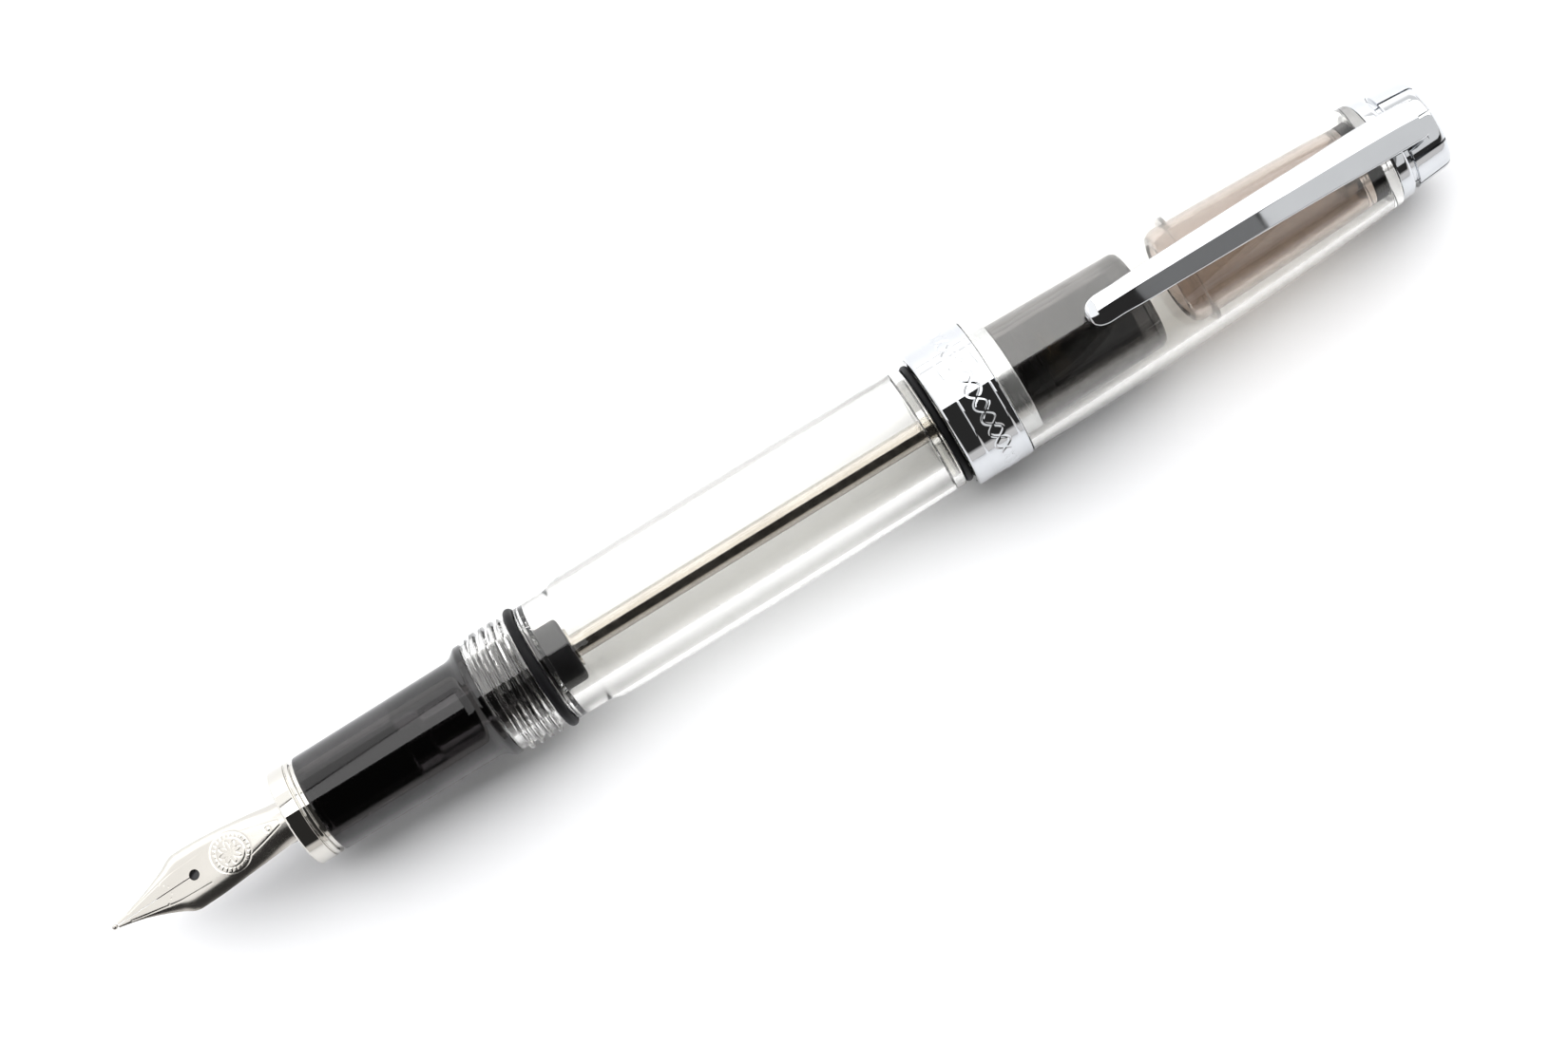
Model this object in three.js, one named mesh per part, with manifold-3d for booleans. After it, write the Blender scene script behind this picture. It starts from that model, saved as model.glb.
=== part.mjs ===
// A vacuum-filling fountain pen lying on its side, with its cap posted on its tail and the pocket clip on top.
// Millimetres. The parts are drawn along +X, from the nib to the finial, with the pen's axis on y = z = 0.
// The whole pen is then moved so that the origin is under its middle, on the surface that it lies on.
import * as THREE from "three";
import { mergeVertices } from "three/addons/utils/BufferGeometryUtils.js";
import Module from "manifold-3d";

const wasm = await Module();
wasm.setup();

// ---------------------------------------------------------------- driving dimensions

const GAP = 0.05; // between faces that touch on the real pen
const SIDES = 32; // flats round the outer turned parts
const INNER_SIDES = 24; // flats round the turned parts inside them
const SMALL_SIDES = 16; // flats round the thin ones
const NIB_ROLL = THREE.MathUtils.degToRad(-5.5); // the nib's turn about the axis, away from the clip

// Stations along the axis.
const X = {
  nibTip: 0.3,
  feedNose: 5.8,
  trimRing: 23.2,
  trimBead: 25.4,
  trimEnd: 25.9,
  grip: 26.4,
  nibHeel: 33,
  collarEnd: 38,
  feedTail: 40,
  gripFlange: 47.4,
  barrel: 48.4,
  frontGroove: 53.9,
  barrelCollar: 55.25,
  nippleEnd: 55.3,
  sealRear: 59.1,
  barrelShoulder: 59.3,
  barrelFull: 60.6,
  glandFace: 103.25,
  barrelEnd: 104.45,
  capMouth: 105.5,
  knobCollar: 106.2,
  bandEnd: 112.4,
  glandEnd: 112.5,
  knob: 114.75,
  knobEnd: 131.1,
  clipTip: 123.9,
  linerMouth: 134.4,
  linerRib: 136.6,
  linerEnd: 158.05,
  capEnd: 160.65,
  clipRingEnd: 162.4,
  finialHead: 163.1,
  clipEnd: 165.35,
  finialEnd: 167.5,
  inlayEnd: 167.6,
};

const LENGTH = X.inlayEnd - X.nibTip; // of the whole pen, with the cap posted

// Radii about the axis.
const R = {
  rod: 1.34,
  nib: 2.75,
  feed: 2.05,
  feedTail: 2.25,
  grip: 5.8,
  gripFlange: 6.8,
  nipple: 5,
  threadCrest: 7.1,
  threadRoot: 6.6,
  frontGroove: 6.25,
  barrelCollar: 6.92,
  barrel: 7.5,
  barrelEnd: 7.27,
  bore: 4.6,
  seal: 3.77,
  sealLip: 4.4,
  glandFlange: 6,
  glandShoulder: 6.3,
  glandNeck: 5.6,
  knobCollar: 6.3,
  knob: 6.2,
  knobTail: 5.85,
  band: 8.26,
  cap: 8.15,
  capLip: 7.6,
  capThread: 6.7,
  clipRing: 6.05,
  finial: 5.7,
  finialEdge: 5.35,
  inlay: 3.6,
  screw: 1.5,
};

const FLAT_OF_POLYGON = Math.cos(Math.PI / SIDES); // distance to a flat, as a share of the corner radius
const AXIS_HEIGHT = R.band * FLAT_OF_POLYGON; // the cap band is the lowest part, resting on a flat

// ---------------------------------------------------------------- materials

const material = (color, roughness, metalness, opacity = 1) =>
  new THREE.MeshStandardMaterial({ color, roughness, metalness, opacity, transparent: opacity < 1 });

const clear = material(0xf4f5f2, 0.05, 0, 0.25);
const smoke = material(0x1c1a1c, 0.08, 0, 0.9);
const tinted = material(0xb09c8c, 0.12, 0, 0.5);
const chrome = material(0xe8eaec, 0.06, 1);
const steel = material(0xc9c6bf, 0.2, 1);
const rubber = material(0x111112, 0.55, 0);
const blackPlastic = material(0x141416, 0.35, 0);
const brass = material(0xb5985a, 0.3, 1);

// ---------------------------------------------------------------- shape helpers

// A geometry whose faces point out: the index is reversed where its signed volume is negative.
function outward(geometry) {
  const merged = new THREE.BufferGeometry().setAttribute("position", geometry.getAttribute("position"));
  if (geometry.index) merged.setIndex(geometry.index);
  const closed = mergeVertices(merged, 1e-4);
  const position = closed.getAttribute("position");
  const index = closed.index.array;
  const [a, b, c] = [new THREE.Vector3(), new THREE.Vector3(), new THREE.Vector3()];
  let volume = 0;
  for (let i = 0; i < index.length; i += 3) {
    a.fromBufferAttribute(position, index[i]);
    b.fromBufferAttribute(position, index[i + 1]);
    c.fromBufferAttribute(position, index[i + 2]);
    volume += a.dot(b.cross(c)) / 6;
  }
  if (volume < 0) {
    for (let i = 0; i < index.length; i += 3) {
      [index[i], index[i + 1]] = [index[i + 1], index[i]];
    }
  }
  return closed;
}

// Points of a circular arc in a profile, from one angle to another in degrees: 0 points along +x, 90 outwards.
function arc(x, r, radius, from, to, steps) {
  return Array.from({ length: steps + 1 }, (_, i) => {
    const angle = THREE.MathUtils.degToRad(from + ((to - from) * i) / steps);
    return [x + radius * Math.cos(angle), r + radius * Math.sin(angle)];
  });
}

// Turns a profile of [x, r] points about the X axis. It starts and ends on the axis, or closes on itself.
function turned(profile, sides = SIDES) {
  const points = profile.map(([x, r]) => new THREE.Vector2(r, x));
  const lathe = new THREE.LatheGeometry(points, sides, Math.PI / sides);
  return outward(lathe.rotateZ(-Math.PI / 2));
}

// A turned part with a hole through it: both profiles run along +x.
function sleeve(outer, inner, sides = SIDES) {
  return turned([...outer, ...inner.toReversed(), outer[0]], sides);
}

const pipe = (from, to, inside, outside, sides = SMALL_SIDES) =>
  sleeve([[from, outside], [to, outside]], [[from, inside], [to, inside]], sides);

// A rubber ring round the axis, with its middle at x.
function oRing(x, middleRadius, thickness, sides = INNER_SIDES) {
  const profile = arc(x, middleRadius, thickness / 2, 0, 360, 6);
  profile[profile.length - 1] = profile[0];
  return turned(profile, sides);
}

// Profile points of ring-shaped thread ridges between two stations, starting and ending at the root.
function threadRidges(from, to, turns, root, crest) {
  const pitch = (to - from) / turns;
  const ridges = Array.from({ length: turns }, (_, turn) => [
    [from + turn * pitch, root],
    [from + (turn + 0.5) * pitch, crest],
  ]);
  return [...ridges.flat(), [to, root]];
}

// Joins closed sections along X. Each station holds its x and the same number of [y, z] points,
// which run anticlockwise as seen from +X.
function loft(stations) {
  const count = stations[0].ring.length;
  const vertices = stations.flatMap(({ x, ring }) => ring.flatMap(([y, z]) => [x, y, z]));
  const index = [];
  for (let s = 0; s + 1 < stations.length; s++) {
    for (let i = 0; i < count; i++) {
      const a = s * count + i;
      const b = s * count + ((i + 1) % count);
      index.push(a, b, a + count, b, b + count, a + count);
    }
  }
  const lid = ({ ring }) =>
    THREE.ShapeUtils.triangulateShape(ring.map(([y, z]) => new THREE.Vector2(y, z)), []);
  const last = (stations.length - 1) * count;
  for (const [a, b, c] of lid(stations[0])) index.push(a, c, b);
  for (const [a, b, c] of lid(stations.at(-1))) index.push(last + a, last + b, last + c);
  const geometry = new THREE.BufferGeometry();
  geometry.setAttribute("position", new THREE.Float32BufferAttribute(vertices, 3));
  geometry.setIndex(index);
  return outward(geometry);
}

function box(x, y, z) {
  const [size, centre] = [x, y, z].reduce(
    ([s, c], [low, high]) => [[...s, high - low], [...c, (low + high) / 2]],
    [[], []],
  );
  return outward(new THREE.BoxGeometry(...size).translate(...centre));
}

// ---------------------------------------------------------------- joining and cutting

function solid(geometry) {
  const bare = new THREE.BufferGeometry().setAttribute("position", geometry.getAttribute("position"));
  if (geometry.index) bare.setIndex(geometry.index);
  const closed = mergeVertices(bare, 1e-4);
  return new wasm.Manifold(
    new wasm.Mesh({
      numProp: 3,
      vertProperties: new Float32Array(closed.getAttribute("position").array),
      triVerts: new Uint32Array(closed.index.array),
    }),
  );
}

function geometryOf(manifold) {
  const mesh = manifold.getMesh();
  const geometry = new THREE.BufferGeometry();
  geometry.setAttribute("position", new THREE.Float32BufferAttribute(mesh.vertProperties, 3));
  geometry.setIndex(new THREE.BufferAttribute(mesh.triVerts, 1));
  return geometry;
}

const cut = (whole, ...tools) =>
  geometryOf(tools.reduce((left, tool) => left.subtract(solid(tool)), solid(whole)));

const join = (...pieces) => geometryOf(pieces.map(solid).reduce((all, piece) => all.add(piece)));

// ---------------------------------------------------------------- nib and feed

// The nib's outline: [x, half width, height of the crest, height of the edge, flatness] above the axis.
// Its section is a circular arc where the flatness is 0, and flat with steep shoulders where it is 1.
const NIB_STATIONS = [
  [1.05, 0.34, 1.12, 0.95, 1],
  [1.8, 0.48, 1.25, 1.1, 1],
  [4, 1.02, 1.6, 1.33, 1],
  [6.1, 1.75, 1.92, 1.45, 1],
  [8.1, 2.6, 2.2, 1.5, 1],
  [9.4, 3.28, 2.38, 1.55, 1],
  [10.1, 3.42, 2.46, 1.6, 1],
  [12.3, 3.38, 2.62, 1.76, 1],
  [15.2, 3.18, 2.7, 1.85, 1],
  [18.6, 2.85, 2.75, 1.7, 0.6],
  [22.6, 2.47, 2.75, 1.2, 0],
  [X.nibHeel, 2.47, 2.75, 1.2, 0],
];
const NIB_THICKNESS = 0.32;
const NIB_ARC_STEPS = 8;
const BREATHER = { x: 11.25, radius: 0.6 };
const SLIT_WIDTH = 0.1;

function nibSection([x, halfWidth, crest, edge, flatness]) {
  const rise = crest - edge;
  const radius = (halfWidth ** 2 + rise ** 2) / (2 * rise);
  const side = (inset, direction) =>
    Array.from({ length: NIB_ARC_STEPS + 1 }, (_, i) => {
      const t = direction * (1 - (2 * i) / NIB_ARC_STEPS);
      const y = halfWidth * t;
      const chord = Math.sqrt(radius ** 2 - y ** 2);
      const drop = (1 - flatness) * (radius - chord) + flatness * rise * t ** 4;
      const slope = ((1 - flatness) * y) / chord + (flatness * 4 * rise * t ** 3) / halfWidth;
      const tilt = Math.atan(slope);
      return [y - inset * Math.sin(tilt), crest - drop - inset * Math.cos(tilt)];
    });
  const thickness = Math.min(NIB_THICKNESS, halfWidth * 0.6);
  return { x, ring: [...side(0, 1), ...side(thickness, -1)] };
}

function nib() {
  const blade = loft(NIB_STATIONS.map(nibSection));
  const slit = box([-1, BREATHER.x], [-SLIT_WIDTH / 2, SLIT_WIDTH / 2], [-1, 4]);
  const breather = outward(
    new THREE.CylinderGeometry(BREATHER.radius, BREATHER.radius, 3, 16)
      .rotateX(Math.PI / 2)
      .translate(BREATHER.x, 0, R.nib),
  );
  return cut(blade, slit, breather);
}

// The hard pellet welded to the nib's point, a little ahead of the blade.
const nibTip = () =>
  outward(new THREE.SphereGeometry(0.36, 8, 6).scale(1, 0.85, 0.85).translate(X.nibTip + 0.36, 0, 1));

function feed() {
  const body = turned(
    [
      [X.feedNose, 0],
      [X.feedNose, 0.5],
      [X.feedNose + 1.4, 1.2],
      [X.feedNose + 3.4, 1.8],
      [X.feedNose + 5.4, R.feed],
      [16, R.feedTail],
      [X.feedTail, R.feedTail],
      [X.feedTail, 0],
    ],
    SMALL_SIDES,
  );
  const channel = box([0, X.feedTail + 1], [-0.3, 0.3], [1.2, 3]);
  const firstFin = 12;
  const finPitch = 1.25;
  const fins = Array.from({ length: 7 }, (_, i) => {
    const x = firstFin + i * finPitch;
    return box([x, x + finPitch / 2], [-3, 3], [-3, -0.9]);
  });
  return cut(body, channel, ...fins);
}

// ---------------------------------------------------------------- grip

const nibCollar = () => pipe(27.2, X.collarEnd, R.nib + GAP, 3.6);

const gripTrimRing = () =>
  sleeve(
    [
      [X.trimRing, R.grip - 0.2],
      [X.trimRing + 0.2, R.grip],
      [X.trimBead - 0.2, R.grip],
      [X.trimBead - 0.15, R.grip - 0.25],
      [X.trimBead, R.grip - 0.25],
      [X.trimBead + 0.05, R.grip - 0.05],
      [X.trimEnd - 0.05, R.grip - 0.05],
      [X.trimEnd, R.grip - 0.5],
      [X.grip - GAP, R.grip - 0.5],
    ],
    [
      [X.trimRing, 3.05],
      [X.grip - GAP, 3.05],
    ],
  );

function gripSection() {
  const nippleGroove = 52.6;
  return sleeve(
    [
      [X.grip, R.grip - 0.05],
      [X.gripFlange - 1, R.grip + 0.1],
      [X.gripFlange, R.gripFlange - 0.1],
      [X.gripFlange + 0.2, R.gripFlange],
      [X.barrel - 2 * GAP, R.gripFlange],
      [X.barrel - 2 * GAP, R.nipple],
      [nippleGroove, R.nipple],
      [nippleGroove, 4.35],
      [nippleGroove + 0.85, 4.35],
      [nippleGroove + 0.85, R.nipple],
      [X.nippleEnd - 0.4, R.nipple],
      [X.nippleEnd, R.nipple - 0.4],
    ],
    [
      [X.grip, 3.1],
      [27, 3.1],
      [27, 3.6 + GAP],
      [X.collarEnd + 0.2, 3.6 + GAP],
      [X.collarEnd + 0.2, 2.3],
      [X.feedTail + 1, 2.3],
      [X.feedTail + 1, 1.75],
      [X.nippleEnd, 1.75],
    ],
  );
}

// ---------------------------------------------------------------- barrel and gland

function barrel() {
  return sleeve(
    [
      [X.barrel, R.threadRoot],
      ...threadRidges(X.barrel + 0.5, X.frontGroove - 0.4, 4, R.threadRoot, R.threadCrest),
      [X.frontGroove, R.threadRoot],
      [X.frontGroove, R.frontGroove],
      [X.barrelCollar, R.frontGroove],
      [X.barrelCollar, R.barrelCollar],
      [X.barrelShoulder, R.barrelCollar],
      [X.barrelFull, R.barrel - 0.1],
      [76, R.barrel],
      [88, R.barrel - 0.02],
      [X.barrelEnd, R.barrelEnd],
    ],
    [
      [X.barrel, R.nipple + GAP],
      [X.nippleEnd + 0.4, R.nipple + GAP],
      [X.nippleEnd + 0.9, R.bore],
      [X.glandFace - GAP, R.bore],
      [X.glandFace - GAP, R.glandFlange + GAP],
      [X.barrelEnd, R.glandFlange + GAP],
    ],
  );
}

const GLAND_NUT = { x: 110.2, outside: 3 };
const ROD_SEALS = [107.2, 109.2];
const ROD_SEAL_THICKNESS = 0.8;

function gland() {
  const boreRadius = R.rod + 0.12;
  const grooveRadius = R.rod + 0.08 + ROD_SEAL_THICKNESS + GAP;
  const groove = (x) => [
    [x - 0.45, boreRadius],
    [x - 0.45, grooveRadius],
    [x + 0.45, grooveRadius],
    [x + 0.45, boreRadius],
  ];
  return sleeve(
    [
      [X.glandFace, R.glandFlange],
      [X.barrelEnd + GAP, R.glandFlange],
      [X.barrelEnd + GAP, R.glandShoulder],
      [X.capMouth + GAP, R.glandShoulder],
      [X.capMouth + GAP, R.glandNeck - 0.4],
      ...threadRidges(X.knobCollar + 0.3, X.glandEnd, 3, R.glandNeck - 0.4, R.glandNeck),
    ],
    [
      [X.glandFace, boreRadius],
      ...ROD_SEALS.flatMap(groove),
      [GLAND_NUT.x, boreRadius],
      [GLAND_NUT.x, GLAND_NUT.outside + GAP],
      [X.glandEnd, GLAND_NUT.outside + GAP],
    ],
    INNER_SIDES,
  );
}

const glandNut = () => pipe(GLAND_NUT.x + GAP, X.glandEnd, R.rod + 0.1, GLAND_NUT.outside);

const rodSeal = (x) =>
  oRing(x, R.rod + 0.08 + ROD_SEAL_THICKNESS / 2, ROD_SEAL_THICKNESS, SMALL_SIDES);

// ---------------------------------------------------------------- plunger

const SEAL_SOCKET = 56; // where the rod's front end sits in the rubber head

function plungerSeal() {
  const noseRadius = 1.4;
  const edge = 0.8;
  const face = X.nippleEnd + 0.25;
  return turned(
    [
      [face - 1, 0],
      [face - 1, noseRadius - 0.3],
      [face, noseRadius],
      [face, R.sealLip],
      [face + 0.35, R.sealLip],
      [face + 0.6, R.seal],
      ...arc(X.sealRear - edge, R.seal - edge, edge, 90, 0, 3),
      [X.sealRear, R.rod + GAP],
      [SEAL_SOCKET, R.rod + GAP],
      [SEAL_SOCKET, 0],
    ],
    INNER_SIDES,
  );
}

const sealWasher = () => pipe(X.sealRear + GAP, X.sealRear + 0.5, R.rod + GAP, 2.3);

function plungerRod() {
  const rodEnd = X.knobEnd - KNOB_END_WALL - 0.3;
  return turned(
    [
      [SEAL_SOCKET + GAP, 0],
      [SEAL_SOCKET + GAP, R.rod],
      [rodEnd, R.rod],
      [rodEnd, 0],
    ],
    16,
  );
}

// ---------------------------------------------------------------- filler knob

const SPIGOT = { end: 118, radius: 4.4 };
const KNOB_END_WALL = 2.4;

function knobCollar() {
  return sleeve(
    [
      [X.knobCollar, R.knobCollar - 0.2],
      [X.knobCollar + 0.3, R.knobCollar],
      [X.knob - GAP, R.knobCollar],
      [X.knob - GAP, SPIGOT.radius],
      [SPIGOT.end, SPIGOT.radius],
    ],
    [
      [X.knobCollar, R.glandNeck + 0.15],
      [X.glandEnd + 0.3, R.glandNeck + 0.15],
      [X.glandEnd + 0.3, R.rod + 0.1],
      [SPIGOT.end, R.rod + 0.1],
    ],
    INNER_SIDES,
  );
}

function knobBody() {
  const edge = 1;
  const hollow = SPIGOT.radius + GAP;
  return turned(
    [
      [X.knob, hollow],
      [X.knob, R.knob],
      ...arc(X.knobEnd - edge, R.knobTail - edge, edge, 80, 0, 3),
      [X.knobEnd, 0],
      [X.knobEnd - KNOB_END_WALL, 0],
      [X.knobEnd - KNOB_END_WALL, hollow],
      [X.knob, hollow],
    ],
    INNER_SIDES,
  );
}

const KNOB_NUT = { x: SPIGOT.end + 0.5, height: 2 };

const knobWasher = () => pipe(SPIGOT.end + GAP, KNOB_NUT.x - GAP, R.rod + 0.08, 3);

function knobNut() {
  const end = KNOB_NUT.x + KNOB_NUT.height;
  const hexagon = turned([[KNOB_NUT.x, 0], [KNOB_NUT.x, 2.9], [end, 2.9], [end, 0]], 6);
  const hole = turned([[KNOB_NUT.x - 1, 0], [KNOB_NUT.x - 1, 1.45], [end + 1, 1.45], [end + 1, 0]], 16);
  return cut(hexagon, hole);
}

// ---------------------------------------------------------------- cap

const GASKET = { from: 158.1, to: 159.45, radius: 4.7 }; // between the liner's end and the cap's

function capBody() {
  const screwHole = R.screw + 0.1;
  const wallEnd = GASKET.to + 2 * GAP;
  return sleeve(
    [
      [X.capMouth, R.capLip],
      [X.bandEnd + GAP, R.capLip],
      [X.bandEnd + GAP, R.cap - 0.05],
      [118, R.cap],
      [127, R.cap - 0.1],
      [136, R.cap - 0.42],
      [145, R.cap - 0.87],
      [154, R.cap - 1.4],
      [X.capEnd, R.cap - 1.95],
    ],
    [
      [X.capMouth, R.capThread + 0.2],
      ...threadRidges(X.capMouth + 0.7, X.bandEnd - 0.7, 3, R.capThread + 0.35, R.capThread),
      [128, R.capThread + 0.02],
      [136, 6.5],
      [143, 6.3],
      [155, 5.75],
      [wallEnd, 5.5],
      [wallEnd, screwHole],
      [X.capEnd, screwHole],
    ],
  );
}

const capBand = () =>
  sleeve(
    [
      [X.capMouth, R.band - 0.45],
      ...arc(X.capMouth + 0.45, R.band - 0.45, 0.45, 150, 90, 2),
      [X.bandEnd - 0.15, R.band],
      [X.bandEnd, R.band - 0.12],
    ],
    [
      [X.capMouth, R.capLip + GAP],
      [X.bandEnd, R.capLip + GAP],
    ],
  );

function innerLiner() {
  const wall = 0.9;
  const ribRadius = 6.4;
  const outer = [
    [X.linerRib, 5.68],
    [X.linerRib, ribRadius],
    [X.linerRib + 0.5, ribRadius],
    [X.linerRib + 0.5, 5.62],
    [143, 5.45],
    [155, 4.95],
    [X.linerEnd, 4.7],
  ];
  const mouth = arc(X.linerMouth + 1.2, 4.5, 1.2, 180, 100, 2);
  return sleeve(
    [...mouth, ...outer],
    [
      [X.linerMouth + 0.3, 4.4],
      [X.linerRib, 5.68 - wall],
      [143, 5.45 - wall],
      [155, 4.95 - wall],
      [X.linerEnd - 0.9, 4.75 - wall],
      [X.linerEnd - 0.9, R.screw + 0.1],
      [X.linerEnd, R.screw + 0.1],
    ],
    INNER_SIDES,
  );
}

const linerGasket = () => pipe(GASKET.from, GASKET.to, R.screw + GAP, GASKET.radius, INNER_SIDES);

const SCREW_HEAD = { radius: 2.7, height: 1.5 };
const FINIAL_BORE_END = 165.7;

function finialScrew() {
  const underHead = X.linerEnd - 0.9 - GAP;
  return turned(
    [
      [underHead - SCREW_HEAD.height, 0],
      [underHead - SCREW_HEAD.height, SCREW_HEAD.radius],
      [underHead, SCREW_HEAD.radius],
      [underHead, R.screw],
      [FINIAL_BORE_END - 0.2, R.screw],
      [FINIAL_BORE_END - 0.2, 0],
    ],
    SMALL_SIDES,
  );
}

function clipRing() {
  const screwHole = R.screw + 0.1;
  return sleeve(
    [
      [X.capEnd + GAP, R.clipRing - 0.15],
      [X.capEnd + GAP + 0.2, R.clipRing],
      [X.clipRingEnd - 0.3, R.clipRing],
      [X.clipRingEnd, R.clipRing - 0.25],
    ],
    [
      [X.capEnd + GAP, screwHole],
      [X.clipRingEnd, screwHole],
    ],
  );
}

// The finial's slot for the clip: a shallow part for the arm and a deep one for its tongue.
const ARM_SLOT = { end: X.clipEnd + 0.25, floor: 4.9, halfWidth: 2.5 };
const TONGUE_SLOT = { end: 164.75, floor: 3.7, halfWidth: 2.1 };
const FINIAL_GROOVES = 9;
const FINIAL_GROOVE_PHASE = THREE.MathUtils.degToRad(-2); // from the clip, towards +Y

function finial() {
  const neck = X.clipRingEnd + GAP;
  const boreRadius = R.screw + GAP;
  const edge = 0.9;
  const recess = X.finialEnd - 0.75;
  const body = turned([
    [neck, boreRadius],
    [neck, R.finial - 0.5],
    [X.finialHead, R.finial - 0.5],
    [X.finialHead, R.finial],
    [X.finialEnd - edge, R.finialEdge],
    ...arc(X.finialEnd - edge, R.finialEdge - edge, edge, 80, 0, 2),
    [X.finialEnd, R.inlay + GAP],
    [recess, R.inlay + GAP],
    [recess, 0],
    [FINIAL_BORE_END, 0],
    [FINIAL_BORE_END, boreRadius],
    [neck, boreRadius],
  ]);
  const slot = ({ end, floor, halfWidth }) =>
    box([X.capEnd, end], [-halfWidth, halfWidth], [floor, 8]);
  const groove = box([X.finialHead - 0.5, X.finialEnd + 1], [-0.16, 0.16], [R.finialEdge - 0.4, 7]);
  const grooves = Array.from({ length: FINIAL_GROOVES }, (_, i) =>
    groove.clone().rotateX(FINIAL_GROOVE_PHASE + (i * 2 * Math.PI) / FINIAL_GROOVES),
  );
  return cut(body, slot(ARM_SLOT), slot(TONGUE_SLOT), ...grooves);
}

function finialInlay() {
  const back = X.finialEnd - 0.7;
  return turned([
    [back, 0],
    [back, R.inlay],
    [X.inlayEnd, R.inlay],
    [X.inlayEnd, 0],
  ]);
}

// ---------------------------------------------------------------- clip

// The clip's arm: [x, half width, height of the ridge, height of the shoulders, height of the underside].
const CLIP_STATIONS = [
  [X.clipTip, 0.5, 9.5, 9.4, 8.85],
  [X.clipTip + 0.35, 1.1, 9.95, 9.7, 8.6],
  [X.clipTip + 1, 1.55, 10.3, 9.85, 8.45],
  [X.clipTip + 2, 1.72, 10.5, 9.9, 8.45],
  [X.clipTip + 3.6, 1.7, 10.6, 9.8, 8.6],
  [X.clipTip + 6, 1.8, 10.6, 9.75, 8.95],
  [143, 2.05, 10.35, 9.55, 8.95],
  [153, 2.2, 9.85, 9.05, 8.4],
  [159, 2.35, 9.2, 8.6, 7.6],
  [162, 2.35, 8.6, 8.15, 6.75],
  [163.8, 2.3, 7.95, 7.6, 6.3],
  [164.9, 2.25, 7.4, 7.15, 5.8],
  [X.clipEnd, 2.15, 7.15, 6.95, 5.5],
];
const TONGUE = { from: 163.3, to: 164.3, halfWidth: 1.8, foot: 4.1, top: 6.6 };

function clip() {
  const arm = loft(
    CLIP_STATIONS.map(([x, half, ridge, shoulder, under]) => ({
      x,
      ring: [
        [-half, under + 0.15],
        [-half * 0.8, under],
        [half * 0.8, under],
        [half, under + 0.15],
        [half, shoulder],
        [half * 0.25, ridge],
        [-half * 0.25, ridge],
        [-half, shoulder],
      ],
    })),
  );
  const tongue = box(
    [TONGUE.from, TONGUE.to],
    [-TONGUE.halfWidth, TONGUE.halfWidth],
    [TONGUE.foot, TONGUE.top],
  );
  return join(arm, tongue);
}

// ---------------------------------------------------------------- assembly

const pen = new THREE.Group();
pen.position.set(-X.nibTip - LENGTH / 2, 0, AXIS_HEIGHT);

function add(name, geometry, finish, parent = pen) {
  const mesh = new THREE.Mesh(geometry, finish);
  mesh.name = name;
  parent.add(mesh);
}

const nibUnit = new THREE.Group();
nibUnit.rotation.x = NIB_ROLL;
pen.add(nibUnit);

add("nib", nib(), steel, nibUnit);
add("nib_tip", nibTip(), steel, nibUnit);
add("feed", feed(), blackPlastic, nibUnit);
add("nib_collar", nibCollar(), blackPlastic);
add("grip_trim_ring", gripTrimRing(), chrome);
add("grip_section", gripSection(), smoke);
add("grip_o_ring", oRing(53.03, 4.7, 0.55), rubber);
add("barrel", barrel(), clear);
add("barrel_front_o_ring", oRing(54.58, 6.88, 1.15), rubber);
add("barrel_rear_o_ring", oRing(105, 6.84, 0.95), rubber);
add("gland", gland(), clear);
ROD_SEALS.forEach((x, i) => add(`rod_seal_${i + 1}`, rodSeal(x), rubber));
add("gland_nut", glandNut(), brass);

add("plunger_seal", plungerSeal(), rubber);
add("plunger_washer", sealWasher(), steel);
add("plunger_rod", plungerRod(), steel);

add("knob_collar", knobCollar(), chrome);
add("filler_knob", knobBody(), smoke);
add("knob_washer", knobWasher(), steel);
add("knob_nut", knobNut(), brass);

add("cap_body", capBody(), clear);
add("cap_band", capBand(), chrome);
add("inner_liner", innerLiner(), tinted);
add("liner_gasket", linerGasket(), rubber);
add("liner_screw", finialScrew(), steel);
add("clip_ring", clipRing(), chrome);
add("finial", finial(), chrome);
add("finial_inlay", finialInlay(), blackPlastic);
add("pocket_clip", clip(), chrome);

const fountainPen = new THREE.Group();
fountainPen.add(pen);

export default fountainPen;
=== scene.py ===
"""The looks of the vacuum-filling fountain pen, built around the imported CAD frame.

Pen coordinates are millimetres: x runs along the pen's axis from nib to finial, z is up through
the clip, and y = z = 0 is the axis. The outlines of the turned CAD nodes are read from the frame,
and each one is made round and smooth here.
"""

import math

import bmesh
import bpy
import numpy as np
from mathutils import Matrix, Vector


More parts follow.
